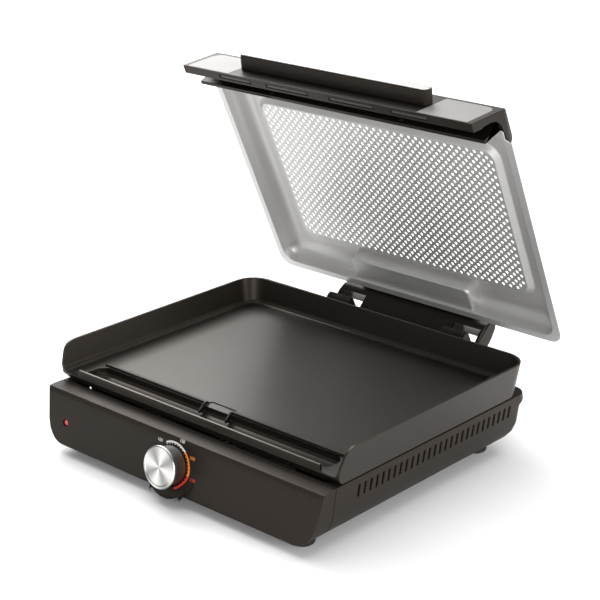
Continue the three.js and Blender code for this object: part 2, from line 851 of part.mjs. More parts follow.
// Hinge bracket: a plate in the lid's rear pocket that necks down behind it to the hinge axis.
const bracketNeck = push(
  [
    [154.4, 126, 1],
    [154.4, 110, 8],
    [167.8, 84, 4],
    [167.8, 68, 6],
    [176, 60.4, 5],
    [188, 60.4, 5],
    [hinge.y + hinge.barrel, 70, 6],
    [hinge.y + hinge.barrel, 82, 6],
    [184, 106, 6],
    [178.6, 122, 5],
    [169, 136.2, 6],
    [150, 137, 3],
    [150, 127.8],
  ],
  "x",
  -117.5,
  117.5,
  4,
);
const pocketFloor = pocketTop + gap;
const bracketTop = 136.6;
const bracketPlate = push(
  [
    [lidY(pocket.front - 6), pocketFloor],
    [156, pocketFloor],
    [156, bracketTop],
    [lidY(pocket.front - 6) + 6, bracketTop, 4],
    [lidY(pocket.front - 6), 131, 3],
  ],
  "x",
  -pocket.halfWidth + 6,
  pocket.halfWidth - 6,
  3,
);
const neckRoof = block([-118, 118], [150, 156], [pocketFloor - 5, 140]);
const towerRoom = sides.map(([, side]) =>
  rodX(46, side > 0 ? 72.5 : -113.5, side > 0 ? 113.5 : -72.5, hinge.y, hinge.z, 36),
);
const hingeBracket = cut(
  join(cut(bracketNeck, cut(neckRoof, block([-91, 91], [140, 160], [pocketFloor, 150]))), bracketPlate),
  ...towerRoom,
  rodX(hinge.pinRadius + gap, 59, 140, hinge.y, hinge.z),
  rodX(hinge.pinRadius + gap, -140, -59, hinge.y, hinge.z),
  ...onStuds(rod(stud.radius + gap, -2, 30, 12)),
);
piece("hinge_bracket", hingeBracket, blackPlastic, lidGroup);
const nutSeat = bracketTop - pocketTop + gap;
const studNut = cut(rod(3.4, nutSeat, nutSeat + 2.6, 6), rod(stud.radius + gap, 0, 30, 12));
onStuds(studNut).forEach((nut, i) => {
  piece(`bracket_nut_${i + 1}`, nut, darkSteel, lidGroup);
});

// Visor: the black front of the lid, a sloped face with a deep lip, a rib behind it and a cheek at
// each end that arches over the plate's side wall.
const visorFaceTop = visor.front - visor.topSetback;
const visorSkin = push(
  fromLid([
    [visor.front, visor.bottom],
    [visorFaceTop, visor.top, 2],
    [visorFaceTop - 9, visor.roof - 3, 6],
    [visorFaceTop - 18, visor.roof, 3],
    [visor.rear + 6, visor.roof, 3],
    [visor.rear, visor.roof - 1],
    [visor.rear, visor.roof - 3],
    [visorFaceTop - 21, visor.roof - 3.4, 4],
    [visorFaceTop - 11, visor.roof - 9, 4],
    [visorFaceTop - 4, 2, 4],
    [visor.front - visor.lip, visor.bottom + 3],
    [visor.front - visor.lip, visor.bottom],
  ]),
  "x",
  -visor.rearHalfWidth,
  visor.rearHalfWidth,
  4,
);
const ribHalfWidth = visor.halfWidth - 2;
const visorRib = push(
  fromLid([
    [326, -29, 1],
    [326, 12],
    [322, 14],
    [321, -29, 1],
  ]),
  "x",
  -ribHalfWidth,
  ribHalfWidth,
  2,
);
const ribBridge = push(
  fromLid([
    [340, -2],
    [338, 12],
    [321, 16],
    [321, 2],
    [334, -2],
  ]),
  "x",
  -ribHalfWidth,
  ribHalfWidth,
  2,
);
const cheekProfile = fromLid([
  [visor.front, visor.bottom],
  [visorFaceTop, visor.top, 4],
  [visorFaceTop - 9, visor.roof - 3, 6],
  [visorFaceTop - 18, visor.roof, 3],
  [visor.rear + 4, visor.roof, 3],
  [visor.rear - 0.5, 4, 2],
  [visor.rear + 1, 0.6, 1],
  [311, 0.6, 3],
  [329, -5, 9],
  [342.5, -28, 5],
  [visor.front - visor.lip, visor.bottom + 1],
  [visor.front - visor.lip, visor.bottom],
]);
const cheeks = sides.map(([, side]) =>
  push(
    cheekProfile,
    "x",
    side > 0 ? 203 : -visor.rearHalfWidth,
    side > 0 ? visor.rearHalfWidth : -203,
    5,
  ),
);
// Room for the plate's side walls, which the closed visor stands over.
const plateRoom = push(
  [
    [60, plate.rim + 1.2],
    [-166, plate.rim + 1.2],
    [-183, plate.rim - 0.3, 12],
    [plate.front - 1, 97.3, 3],
    [plate.front - 0.8, 86],
    [-185.4, 76],
    [60, 76],
  ],
  "x",
  -240,
  240,
  8,
);
const visorPlan = push(
  [
    [-visor.halfWidth, lidY(visor.front + 2)],
    [visor.halfWidth, lidY(visor.front + 2)],
    [visor.halfWidth, lidY(visor.front), 4],
    [visor.rearHalfWidth, lidY(visor.rear)],
    [visor.rearHalfWidth, lidY(250)],
    [-visor.rearHalfWidth, lidY(250)],
    [-visor.rearHalfWidth, lidY(visor.rear)],
    [-visor.halfWidth, lidY(visor.front), 4],
  ],
  "z",
  60,
  170,
  3,
);
// The top corners of the sloped face are rounded off, seen from the front.
const cornerRound = push(
  [
    [-visor.rearHalfWidth, 60],
    [visor.rearHalfWidth, 60],
    [visor.rearHalfWidth, lidZ(visor.roof), 30],
    [-visor.rearHalfWidth, lidZ(visor.roof), 30],
  ],
  "y",
  -260,
  -120,
  6,
);
const lipSlots = sides.flatMap(([, side]) =>
  [
    [16, 82],
    [107, 159],
  ].map(([near, far]) =>
    block(
      side > 0 ? [near, far] : [-far, -near],
      [lidY(visor.front - 3.5), lidY(visor.front - visor.lip + 3.5)],
      [lidZ(visor.bottom - 1), lidZ(visor.bottom + 1.6)],
    ),
  ),
);
// The sloped face's own axes: local y up the face from its lowest edge, local z out of it.
const faceLean = THREE.MathUtils.radToDeg(Math.atan2(visor.topSetback, visor.top - visor.bottom));
const onFace = (body) =>
  body.rotate([90 - faceLean, 0, 0]).translate([0, lidY(visor.front), lidZ(visor.bottom)]);
const faceHeight = Math.hypot(visor.topSetback, visor.top - visor.bottom);
const trimOutline = (inset, side) => {
  const near = grip.halfLength + 1 + inset;
  const far = visor.halfWidth - 7 - inset;
  const low = 2 + inset;
  const high = faceHeight - 4 - inset;
  const corners = [
    [side * near, low],
    [side * far, low],
    [side * far, high, 14],
    [side * near, high],
  ];
  return side > 0 ? corners : corners.reverse();
};
const trimRecess = sides.map(([, side]) => onFace(push(trimOutline(-gap, side), "z", -1.3, 3, 5)));
const handleScrewPlaces = [-100, 100].map((x) => [x, grip.low + grip.thickness / 2]);
const handleBores = (radius, from, to) =>
  handleScrewPlaces.map(([x, up]) => onFace(rod(radius, from, to, 12).translate([x, up, 0])));
const visorBody = cut(
  join(visorSkin, visorRib, ribBridge, ...cheeks.map((cheek) => cut(cheek, plateRoom)))
    .intersect(visorPlan)
    .intersect(cornerRound),
  lidBlank(0.4),
  ...lipSlots,
  ...trimRecess,
  ...handleBores(1.4, -30, 5),
  ...handleBores(3.2, -30, -4.6),
);
piece("lid_visor", visorBody, blackPlastic, lidGroup);
sides.forEach(([place, side]) => {
  piece(`visor_trim_${place}`, onFace(push(trimOutline(0, side), "z", -1, 0.2, 5)), satinSteel, lidGroup);
});

const gripOutline = (inset) => {
  const low = grip.low + inset;
  const high = grip.low + grip.thickness - inset;
  const end = grip.halfLength - inset;
  return [
    [-end, low, 7],
    [end, low, 7],
    [end, high, 9],
    [-end, high, 9],
  ];
};
const gripBody = cut(
  onFace(push(gripOutline(0), "z", gap, grip.reach, 5)),
  ...handleBores(1.3, -5, 12),
);
piece("handle_grip", gripBody, blackPlastic, lidGroup);
piece(
  "handle_cap",
  onFace(push(gripOutline(0.4), "z", grip.reach + gap, grip.reach + gap + grip.cap, 5)),
  satinSteel,
  lidGroup,
);
handleScrewPlaces.forEach(([x, up], i) => {
  const body = screw(2.6, 1.6, 1, 14).translate([x, up, -6.5]);
  piece(`handle_screw_${i + 1}`, onFace(body), darkSteel, lidGroup);
});

// The lid turns about the hinge axis from closed to its open rest.
lidGroup.children.forEach((mesh) => mesh.position.set(0, -hinge.y, -hinge.z));
lidGroup.position.set(0, hinge.y, hinge.z);
lidGroup.rotation.x = THREE.MathUtils.degToRad(-lid.opening);

// The origin is the middle of the object's footprint, on the table.
const bounds = new THREE.Box3().setFromObject(griddle, true);
griddle.position.set(0, -(bounds.min.y + bounds.max.y) / 2, -bounds.min.z);

export default griddle;
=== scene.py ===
# Electric griddle: finished surfaces, a perforated lid and a printed dial around the CAD model.
import json
import math

import bmesh
import bpy
from mathutils import Matrix, Vector
from mathutils.bvhtree import BVHTree
from mathutils.geometry import delaunay_2d_cdt


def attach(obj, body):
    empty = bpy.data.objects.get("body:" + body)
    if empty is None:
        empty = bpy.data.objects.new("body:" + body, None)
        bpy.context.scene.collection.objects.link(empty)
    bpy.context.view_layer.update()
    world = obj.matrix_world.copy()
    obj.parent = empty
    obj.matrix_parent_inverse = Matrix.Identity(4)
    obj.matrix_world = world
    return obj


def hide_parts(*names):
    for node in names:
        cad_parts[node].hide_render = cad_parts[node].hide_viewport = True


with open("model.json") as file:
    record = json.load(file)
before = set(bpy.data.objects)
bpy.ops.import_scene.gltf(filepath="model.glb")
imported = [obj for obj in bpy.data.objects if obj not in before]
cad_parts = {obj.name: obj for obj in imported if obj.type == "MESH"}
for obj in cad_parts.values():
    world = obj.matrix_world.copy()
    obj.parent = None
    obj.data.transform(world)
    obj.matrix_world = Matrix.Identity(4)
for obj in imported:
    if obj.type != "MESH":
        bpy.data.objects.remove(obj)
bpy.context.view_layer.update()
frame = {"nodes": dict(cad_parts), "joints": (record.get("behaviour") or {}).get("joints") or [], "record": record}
print("frame loaded")

mm = 0.001
behaviour = frame["record"]["behaviour"]
bodyOfNode = {node: body for body, nodes in behaviour["bodies"].items() for node in nodes}
slotOfNode = {part["node"]: part["material_slot"] for part in frame["record"]["subparts"]}
joints = {joint["name"]: joint for joint in frame["joints"]}


def aimed(obj, place, target):
    obj.location = place
    obj.rotation_euler = (Vector(target) - Vector(place)).to_track_quat("-Z", "Y").to_euler()


cameraSetup = {
    "azimuth": 42.0,  # degrees round from the front
    "elevation": 20.25,
    "distance": 2.0503,
    "lens": 100.16,
    "sensor": 36,
    "seesTo": 50,
    "hingeBehind": 0.1818,  # the aim starts on the floor, this far in front of the hinge axis
    "aside": -0.004,  # and moves along the picture's own right
    "above": 0.1704,  # and along its own up
}


def makeCamera(setup):
    data = bpy.data.cameras.new("camera")
    data.lens = setup["lens"]
    data.sensor_width = setup["sensor"]
    data.clip_end = setup["seesTo"]
    camera = bpy.data.objects.new("camera", data)
    bpy.context.scene.collection.objects.link(camera)
    azimuth, elevation = math.radians(setup["azimuth"]), math.radians(setup["elevation"])
    flat = math.cos(elevation)
    back = Vector((math.sin(azimuth) * flat, -math.cos(azimuth) * flat, math.sin(elevation)))
    right = Vector((math.cos(azimuth), math.sin(azimuth), 0))
    up = back.cross(right)
    hingeY = joints["lid_hinge"]["pos_m"][1]
    aim = Vector((0, hingeY - setup["hingeBehind"], 0)) + right * setup["aside"] + up * setup["above"]
    turn = Matrix((right, up, back)).transposed().to_4x4()
    camera.matrix_world = Matrix.Translation(aim + back * setup["distance"]) @ turn
    bpy.context.scene.camera = camera


makeCamera(cameraSetup)
print("camera placed")

studio = {
    "floorSize": 14,
    "aimHeight": 0.15,  # the lights point at this height over the middle of the floor
    "world": (0.98, 0.99, 1.0),
    "worldStrength": 0.4,
    "sun": {"from": (-0.3, 0.45, 1.9), "strength": 2.3, "spread": 75},  # a bright sky behind on the left
    "panels": {
        # place, size, watts
        "windowLeft": ((-1.9, 0.9, 1.9), (1.8, 1.4), 72),
        "sideRight": ((2.4, 0.5, 0.5), (1.6, 0.8), 34),
        "frontRight": ((1.7, -2.2, 0.9), (1.2, 1.0), 34),
    },
}


def addLight(name, kind, place, settings):
    data = bpy.data.lights.new(name, kind)
    for key, value in settings.items():
        setattr(data, key, value)
    lamp = bpy.data.objects.new(name, data)
    bpy.context.scene.collection.objects.link(lamp)
    aimed(lamp, place, (0, 0, studio["aimHeight"]))


def makeStudio(setup):
    world = bpy.data.worlds.new("studio")
    world.use_nodes = True
    sky = world.node_tree.nodes["Background"]
    sky.inputs["Color"].default_value = (*setup["world"], 1)
    sky.inputs["Strength"].default_value = setup["worldStrength"]
    bpy.context.scene.world = world
    bpy.context.scene.view_settings.view_transform = "Standard"
    sun = setup["sun"]
    addLight("sky", "SUN", sun["from"], {"energy": sun["strength"], "angle": math.radians(sun["spread"])})
    for name, (place, (width, height), watts) in setup["panels"].items():
        panel = {"shape": "RECTANGLE", "size": width, "size_y": height, "energy": watts}
        addLight(name, "AREA", place, panel)


makeStudio(studio)


def linear(hexColour):
    # sRGB hex to linear red, green, blue and alpha
    values = [int(hexColour[i : i + 2], 16) / 255 for i in (0, 2, 4)]
    return (*[v / 12.92 if v <= 0.04045 else ((v + 0.055) / 1.055) ** 2.4 for v in values], 1)


def addNode(tree, kind, settings=None, links=None):
    node = tree.nodes.new(kind)
    for name, value in (settings or {}).items():
        if name in node.inputs:
            node.inputs[name].default_value = value
        else:
            setattr(node, name, value)
    for name, socket in (links or {}).items():
        tree.links.new(socket, node.inputs[name])
    return node


def makeMaterial(name, recipe):
    material = bpy.data.materials.new(name)
    material.use_nodes = True
    tree = material.node_tree
    shader = tree.nodes["Principled BSDF"]
    shader.inputs["Metallic"].default_value = recipe.get("metallic", 0)
    for socket, value in recipe.get("shader", {}).items():
        shader.inputs[socket].default_value = value
    place = addNode(tree, "ShaderNodeTexCoord").outputs["Object"]
    stretch = recipe.get("stretch")
    if stretch:
        place = addNode(tree, "ShaderNodeMapping", {"Scale": stretch}, {"Vector": place}).outputs["Vector"]
    # fine grain for relief and roughness, and a slow drift of tone over the whole surface
    grain = addNode(
        tree,
        "ShaderNodeTexNoise",
        {"Scale": 1 / (recipe["grain"] * mm), "Detail": 3, "Roughness": 0.6},
        {"Vector": place},
    )
    drift = addNode(
        tree,
        "ShaderNodeTexNoise",
        {"Scale": 1 / (recipe.get("drift", 90) * mm), "Detail": 2},
        {"Vector": place},
    )
    low, high = recipe["roughness"]
    gloss = addNode(
        tree,
        "ShaderNodeMapRange",
        {"From Min": 0.3, "From Max": 0.7, "To Min": low, "To Max": high},
        {"Value": grain.outputs["Fac"]},
    )
    tree.links.new(gloss.outputs["Result"], shader.inputs["Roughness"])
    tone = addNode(tree, "ShaderNodeValToRGB", None, {"Fac": drift.outputs["Fac"]})
    for stop, position, colour in zip(tone.color_ramp.elements, (0.35, 0.65), recipe["colours"]):
        stop.position = position
        stop.color = linear(colour)
    colour = tone.outputs["Color"]
    if "fleck" in recipe:
        fleck = addNode(tree, "ShaderNodeVectorMath", {"operation": "MULTIPLY"})
        amount = addNode(
            tree,
            "ShaderNodeMapRange",
            {"From Min": 0.3, "From Max": 0.7, "To Min": 1 - recipe["fleck"], "To Max": 1 + recipe["fleck"]},
            {"Value": grain.outputs["Fac"]},
        )
        tree.links.new(colour, fleck.inputs[0])
        tree.links.new(amount.outputs["Result"], fleck.inputs[1])
        colour = fleck.outputs["Vector"]
    tree.links.new(colour, shader.inputs["Base Color"])
    bump = addNode(
        tree,
        "ShaderNodeBump",
        {"Strength": recipe["relief"], "Distance": recipe["grain"] * 0.3 * mm},
        {"Height": grain.outputs["Fac"]},
    )
    tree.links.new(bump.outputs["Normal"], shader.inputs["Normal"])
    return material


finishes = {
    # Moulded ABS with a spark-eroded grain: a soft, slightly warm black that never mirrors.
    "housing_plastic": {
        "name": "absMattGrained",
        "colours": ("17130f", "1b1713"),
        "roughness": (0.46, 0.6),
        "grain": 0.9,
        "relief": 0.25,
        "fleck": 0.08,
        "shader": {"IOR": 1.53, "Specular IOR Level": 0.24, "Specular Tint": linear("ffeee0")},
    },
    # Glass-filled nylon, finer grain than the housing: darker, with a broader sheen.
    "visor_plastic": {
        "name": "nylonSatinBlack",
        "colours": ("120e0b", "16120f"),
        "roughness": (0.4, 0.5),
        "grain": 0.7,
        "relief": 0.18,
        "fleck": 0.06,
        "shader": {"IOR": 1.53, "Specular IOR Level": 0.24, "Specular Tint": linear("ffeee0")},
    },
    # Silicone rubber feet and grommet: flat black with no highlight.
    "soft_black": {
        "name": "siliconeRubberBlack",
        "colours": ("1c1b1a", "211f1e"),
        "roughness": (0.75, 0.85),
        "grain": 0.8,
        "relief": 0.2,
        "shader": {"IOR": 1.43},
    },
    # Sheet steel under black powder coat: an orange-peel skin.
    "cover_steel": {
        "name": "powderCoatBlack",
        "colours": ("1e1e1e", "242323"),
        "roughness": (0.55, 0.7),
        "grain": 1.4,
        "relief": 0.3,
        "shader": {"IOR": 1.5},
    },
    # PTFE coating on cast aluminium: a dark brown-black with a wide satin glow and tiny mineral flecks.
    "non_stick": {
        "name": "ptfeCoatedAluminium",
        "colours": ("130f0b", "17130f"),
        "roughness": (0.34, 0.46),
        "grain": 0.8,
        "relief": 0.12,
        "fleck": 0.12,
        "shader": {"IOR": 1.5, "Specular IOR Level": 0.4, "Specular Tint": linear("fff2e6")},
    },
    # Deep-drawn stainless sheet with a satin finish: bright, softly blurred reflections.
    "stainless": {
        "name": "stainlessSatinDrawn",
        "colours": ("bab9b7", "c2c1bf"),
        "metallic": 0.55,
        "roughness": (0.36, 0.46),
        "grain": 0.6,
        "stretch": (1, 0.12, 0.12),
        "relief": 0.06,
    },
    # Fine-brushed stainless on the dial and handle: near white along the grain.
    "trim_steel": {
        "name": "steelFineBrushed",
        "colours": ("c0bfbc", "c8c7c4"),
        "metallic": 1,
        "roughness": (0.25, 0.4),
        "grain": 0.5,
        "stretch": (0.06, 1, 1),
        "relief": 0.08,
    },
    # Spun stainless face of the dial: fine rings that throw light in wedges from the middle; those wedges are
    # painted into its colour below as painted highlight and painted shade.
    "spunSteelPaintedSheen": {
        "name": "steelSpunFacePaintedSheen",
        "colours": ("c4c3c0", "cccbc8"),
        "metallic": 1,
        "roughness": (0.24, 0.36),
        "grain": 0.5,
        "relief": 0.06,
    },
    # Zinc-plated steel fixings: dull grey metal.
    "dark_steel": {
        "name": "steelZincPlated",
        "colours": ("6d6b68", "777572"),
        "metallic": 1,
        "roughness": (0.34, 0.48),
        "grain": 0.7,
        "relief": 0.1,
    },
    # Tinted polycarbonate lens: deep red with a clear gloss.
    "red_lens": {
        "name": "polycarbonateRed",
        "colours": ("b3142e", "c21a36"),
        "roughness": (0.1, 0.16),
        "grain": 1.2,
        "relief": 0.02,
        "shader": {"IOR": 1.58, "Coat Weight": 0.4},
    },
    # Steatite and phenolic insulators: chalky cream.
    "insulator": {
        "name": "steatiteCream",
        "colours": ("cfc9bb", "d8d2c4"),
        "roughness": (0.6, 0.75),
        "grain": 0.9,
        "relief": 0.1,
        "shader": {"IOR": 1.55},
    },
    # Grey satin lacquer on the plastic inlays beside the handle: pale and even.
    "inlay": {
        "name": "lacquerWarmGrey",
        "colours": ("7e7c79", "868481"),
        "roughness": (0.42, 0.5),
        "grain": 0.7,
        "relief": 0.06,
        "shader": {"IOR": 1.5},
    },
    # Unpainted dark grey nylon pads under the lip: a step lighter than the visor.
    "lipPad": {
        "name": "nylonDarkGrey",
        "colours": ("2b2825", "302d2a"),
        "roughness": (0.5, 0.6),
        "grain": 0.7,
        "relief": 0.1,
        "shader": {"IOR": 1.53},
    },
    # Pad-printing ink, white: flat and slightly raised.
    "ink": {
        "name": "inkWhite",
        "colours": ("dcdad6", "e4e2de"),
        "roughness": (0.5, 0.6),
        "grain": 0.6,
        "relief": 0.05,
        "shader": {"IOR": 1.5},
    },
    "inkOrange": {
        "name": "inkOrange",
        "colours": ("e07a26", "e8842c"),
        "roughness": (0.5, 0.6),
        "grain": 0.6,
        "relief": 0.05,
        "shader": {"IOR": 1.5},
    },
    "inkRed": {
        "name": "inkRed",
        "colours": ("c02a1c", "cc3222"),
        "roughness": (0.5, 0.6),
        "grain": 0.6,
        "relief": 0.05,
        "shader": {"IOR": 1.5},
    },
}
materials = {slot: makeMaterial(recipe["name"], recipe) for slot, recipe in finishes.items()}
for node, obj in frame["nodes"].items():
    obj.data.materials.clear()
    obj.data.materials.append(materials[slotOfNode[node]])
print("materials made")

floorMaterial = makeMaterial(
    "paperSweepWhite",  # seamless studio paper: matt and almost white
    {"colours": ("f2f2f2", "f4f4f4"), "roughness": (0.8, 0.9), "grain": 2, "relief": 0.02},
)


def makeFloor(size):
    bm = bmesh.new()
    bmesh.ops.create_grid(bm, x_segments=1, y_segments=1, size=size / 2)
    mesh = bpy.data.meshes.new("floor")
    bm.to_mesh(mesh)
    bm.free()
    mesh.materials.append(floorMaterial)
    floor = bpy.data.objects.new("floor", mesh)
    bpy.context.scene.collection.objects.link(floor)


makeFloor(studio["floorSize"])
print("floor laid")


def newPiece(name, bm, slot, body):
    mesh = bpy.data.meshes.new(name)
    bm.to_mesh(mesh)
    bm.free()
    mesh.materials.append(materials[slot])
    piece = bpy.data.objects.new(name, mesh)
    bpy.context.scene.collection.objects.link(piece)
    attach(piece, body)
    return piece


shell = {
    "merge": 0.01 * mm,
    "degenerate": 0.02 * mm,
    "flat": 1.5,  # degrees: faces closer to one plane than this become one
    "sharp": 24,  # degrees: edges sharper than this are rounded
    "leastShare": 0.04,
}


def skinRings(bm, rings):
    # walls between closed rings, with a cap at each end
    sides = len(rings[0])
    for lower, upper in zip(rings, rings[1:]):
        for k in range(sides):
            j = (k + 1) % sides
            bm.faces.new((lower[k], lower[j], upper[j], upper[k]))
    bm.faces.new(rings[0])
    bm.faces.new(rings[-1])
    bmesh.ops.recalc_face_normals(bm, faces=bm.faces)


def faceWidth(face):
    return 2 * face.calc_area() / face.calc_perimeter()


def bevelRoom(edge):
    # how wide a bevel fits: under the narrower face and the shortest edge that it meets
    faces = min(faceWidth(face) for face in edge.link_faces)
    met = [e.calc_length() for v in edge.verts for e in v.link_edges if e is not edge]
    return min(0.4 * faces, 0.45 * min(met))


def roundOver(edge, weights, width, full=1.0):
    # gives one edge its share of the full bevel, or leaves it crisp where nothing fits
    edge[weights] = max(0.0, min(full, bevelRoom(edge) / width))
    edge.smooth = edge[weights] > shell["leastShare"]


def addBevel(piece, width):
    piece.data.shade_smooth()
    bevel = piece.modifiers.new("edges", "BEVEL")
    bevel.limit_method = "WEIGHT"
    bevel.width = width
    bevel.segments = 3
    bevel.harden_normals = True
    bevel.use_clamp_overlap = False
    normals = piece.modifiers.new("normals", "WEIGHTED_NORMAL")
    normals.keep_sharp = True


def softEdges(piece, width):
    bm = bmesh.new()
    bm.from_mesh(piece.data)
    weights = bm.edges.layers.float.new("bevel_weight_edge")
    for edge in bm.edges:
        if len(edge.link_faces) == 2 and edge.calc_face_angle(0) >= math.radians(shell["sharp"]):
            roundOver(edge, weights, width)
    bm.to_mesh(piece.data)
    bm.free()
    addBevel(piece, width)


def meshOf(node):
    bm = bmesh.new()
    bm.from_mesh(frame["nodes"][node].data)
    bmesh.ops.remove_doubles(bm, verts=bm.verts, dist=shell["merge"])
    bmesh.ops.dissolve_degenerate(bm, edges=bm.edges, dist=shell["degenerate"])
    flat = math.radians(shell["flat"])
    bmesh.ops.dissolve_limit(bm, angle_limit=flat, verts=bm.verts, edges=bm.edges)
    # slivers left by the joins lie in a neighbour's plane, so each gives up its longest edge
    for face in [f for f in bm.faces if faceWidth(f) < shell["degenerate"]]:
        if face.is_valid and len(face.edges) == 3:
            longest = max(face.edges, key=lambda e: e.calc_length())
            bmesh.ops.dissolve_edges(bm, edges=[longest], use_verts=False)
    return bm


def finishNode(node, width, slot):
    piece = newPiece(node + "_finished", meshOf(node), slot, bodyOfNode[node])
    softEdges(piece, width)
    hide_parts(node)
    return piece


edgeWidths = {
    "base_housing": 1.2,
    "front_fascia": 1.2,
    "griddle_plate": 1.1,
    "lid_visor": 1.0,
    "hinge_bracket": 1.2,
    "hinge_tower_left": 1.2,
    "hinge_tower_right": 1.2,
    "handle_grip": 1.2,
    "handle_cap": 0.6,
    "foot_front_left": 0.8,
    "foot_front_right": 0.8,
    "foot_rear_left": 0.8,
    "foot_rear_right": 0.8,
    "knob_body": 0.6,
    "knob_face": 0.6,
    "indicator_lens": 0.3,
    "cord_gland": 0.5,
    "bottom_cover": 0.5,
}
finished = {node: finishNode(node, width * mm, slotOfNode[node]) for node, width in edgeWidths.items()}
for side in ("left", "right"):
    finishNode("visor_trim_" + side, 0.3 * mm, "inlay")
print("shells finished")

lidPlan = {
    "opening": 65.2,  # degrees, at rest
    "rearBehindHinge": -29.8 * mm,  # closed: the pan's rear edge, forwards of the hinge axis
    "rimAboveHinge": 48.8 * mm,
    "fieldDepth": 18 * mm,
    "sheet": 1.2 * mm,
    "edgeWidth": 1.4 * mm,
    "rimShare": 0.3,  # the thin cut rim is rounded this much less than the drawn edges
    "steep": 80,  # degrees: edges sharper than this count as rim
    "holeEdge": 1.3 * mm,  # edges shorter than this belong to the holes
}
perforation = {
    "rows": 39,
    "firstRow": 58.5 * mm,
    "rowPitch": 5.39 * mm,
    "pitch": 10.67 * mm,
    "longRow": 34,
    "radius": 2.2 * mm,
    "sides": 12,
    "nearLevel": 0.05 * mm,
}
hinge = Vector(joints["lid_hinge"]["pos_m"])
opening = Matrix.Rotation(math.radians(-lidPlan["opening"]), 4, "X")
closedToRest = Matrix.Translation(hinge) @ opening @ Matrix.Translation(-hinge)


def holeCentres(plan):
    centres = []
    for row in range(plan["rows"]):
        count = plan["longRow"] - row % 2
        forward = plan["firstRow"] + row * plan["rowPitch"]
        for k in range(count):
            x = (k - (count - 1) / 2) * plan["pitch"]
            corner = row in (0, plan["rows"] - 1) and k in (0, count - 1)
            if not corner:
                centres.append((x, hinge.y + lidPlan["rearBehindHinge"] - forward))
    return centres


def panelWithHoles(bm, level, centres):
    # takes the flat faces at one level out and fills their outline again, round the holes
    near = perforation["nearLevel"]
    flat = [f for f in bm.faces if abs(f.normal.z) > 0.999 and abs(f.calc_center_median().z - level) < near]
    bmesh.ops.delete(bm, geom=flat, context="FACES_ONLY")
    rim = [e for e in bm.edges if e.is_boundary and all(abs(v.co.z - level) < near for v in e.verts)]
    rimVerts = list({v for e in rim for v in e.verts})
    index = {v: i for i, v in enumerate(rimVerts)}
    points = [v.co.xy for v in rimVerts]
    edges = [(index[e.verts[0]], index[e.verts[1]]) for e in rim]
    verts = list(rimVerts)
    rings = []
    sides = perforation["sides"]
    for cx, cy in centres:
        start = len(verts)
        for k in range(sides):
            turn = 2 * math.pi * k / sides
            x = cx + perforation["radius"] * math.cos(turn)
            y = cy + perforation["radius"] * math.sin(turn)
            verts.append(bm.verts.new((x, y, level)))
            points.append(Vector((x, y)))
            edges.append((start + k, start + (k + 1) % sides))
        rings.append(verts[start : start + sides])
    _, _, triangles, original, _, _ = delaunay_2d_cdt(points, edges, [], 0, 1e-7)
    ringOf = {v: number for number, ring in enumerate(rings) for v in ring}
    for triangle in triangles:
        corners = [verts[original[k][0]] for k in triangle]
        inOneHole = corners[0] in ringOf and len({ringOf.get(v) for v in corners}) == 1
        if not inOneHole and len(set(corners)) == 3:
            bm.faces.new(corners)
    return rings


def makeLidPan():
    bm = meshOf("lid_pan")
    bmesh.ops.transform(bm, matrix=closedToRest.inverted(), verts=bm.verts)
    bm.normal_update()
    level = hinge.z + lidPlan["rimAboveHinge"] + lidPlan["fieldDepth"]
    centres = holeCentres(perforation)
    under = panelWithHoles(bm, level, centres)
    over = panelWithHoles(bm, level + lidPlan["sheet"], centres)
    for low, high in zip(under, over):
        for k, v in enumerate(low):
            following = (k + 1) % len(low)
            bm.faces.new((v, low[following], high[following], high[k]))
    bmesh.ops.recalc_face_normals(bm, faces=bm.faces)
    bmesh.ops.transform(bm, matrix=closedToRest, verts=bm.verts)
    pan = newPiece("lid_pan_perforated", bm, "stainless", "lid")
    softenLid(pan)
    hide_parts("lid_pan")


def softenLid(pan):
    # rounds the drawn edges of the sheet and leaves the punched holes crisp
    width = lidPlan["edgeWidth"]
    bm = bmesh.new()
    bm.from_mesh(pan.data)
    weights = bm.edges.layers.float.new("bevel_weight_edge")
    for edge in bm.edges:
        if len(edge.link_faces) != 2:
            continue
        angle = edge.calc_face_angle(0)
        if edge.calc_length() < lidPlan["holeEdge"]:
            edge.smooth = angle < math.radians(40)
        elif angle > math.radians(shell["sharp"]):
            thin = min(faceWidth(face) for face in edge.link_faces) < width
            rim = thin or angle > math.radians(lidPlan["steep"])
            roundOver(edge, weights, width, lidPlan["rimShare"] if rim else 1.0)
    bm.to_mesh(pan.data)
    bm.free()
    addBevel(pan, width)


makeLidPan()
print("lid pan perforated")

dialPrint = {
    "outer": 27.5 * mm,
    "inner": 25.3 * mm,
    "tooth": 1.6 * mm,
    "toothEvery": 4,  # cells of the arc
    "cell": 2.5,  # degrees
    "bands": (
        # name, start and end in degrees anticlockwise from the right, ink
        ("warm", 120, 49, "ink"),
        ("hot", 48.5, -13, "inkOrange"),
        ("sear", -13.5, -62, "inkRed"),
    ),
    "numbers": (
        # text, mm to the right of the knob's axis, mm above it, ink
        ("100", -23.5, 22.5, "ink"),
        ("150", 10.5, 30.5, "ink"),
        ("200", 29.5, 16.0, "inkOrange"),
        ("230", 33.5, -8.5, "inkRed"),
    ),
    "sunk": 0.05 * mm,
    "thickness": 0.12 * mm,
    "textSize": 5.4 * mm,
}
dialPose = Vector(joints["knob_turn"]["pos_m"])
dialOut = Vector(joints["knob_turn"]["axis"]).normalized()
if dialOut.y > 0:
    dialOut = -dialOut  # towards the user
dialUp = (Vector((0, 0, 1)) - dialOut * dialOut.z).normalized()
dialRight = Vector((1, 0, 0))


fascia = BVHTree.FromObject(finished["front_fascia"], bpy.context.evaluated_depsgraph_get())
castFrom = 0.05  # metres in front of the dial's plane


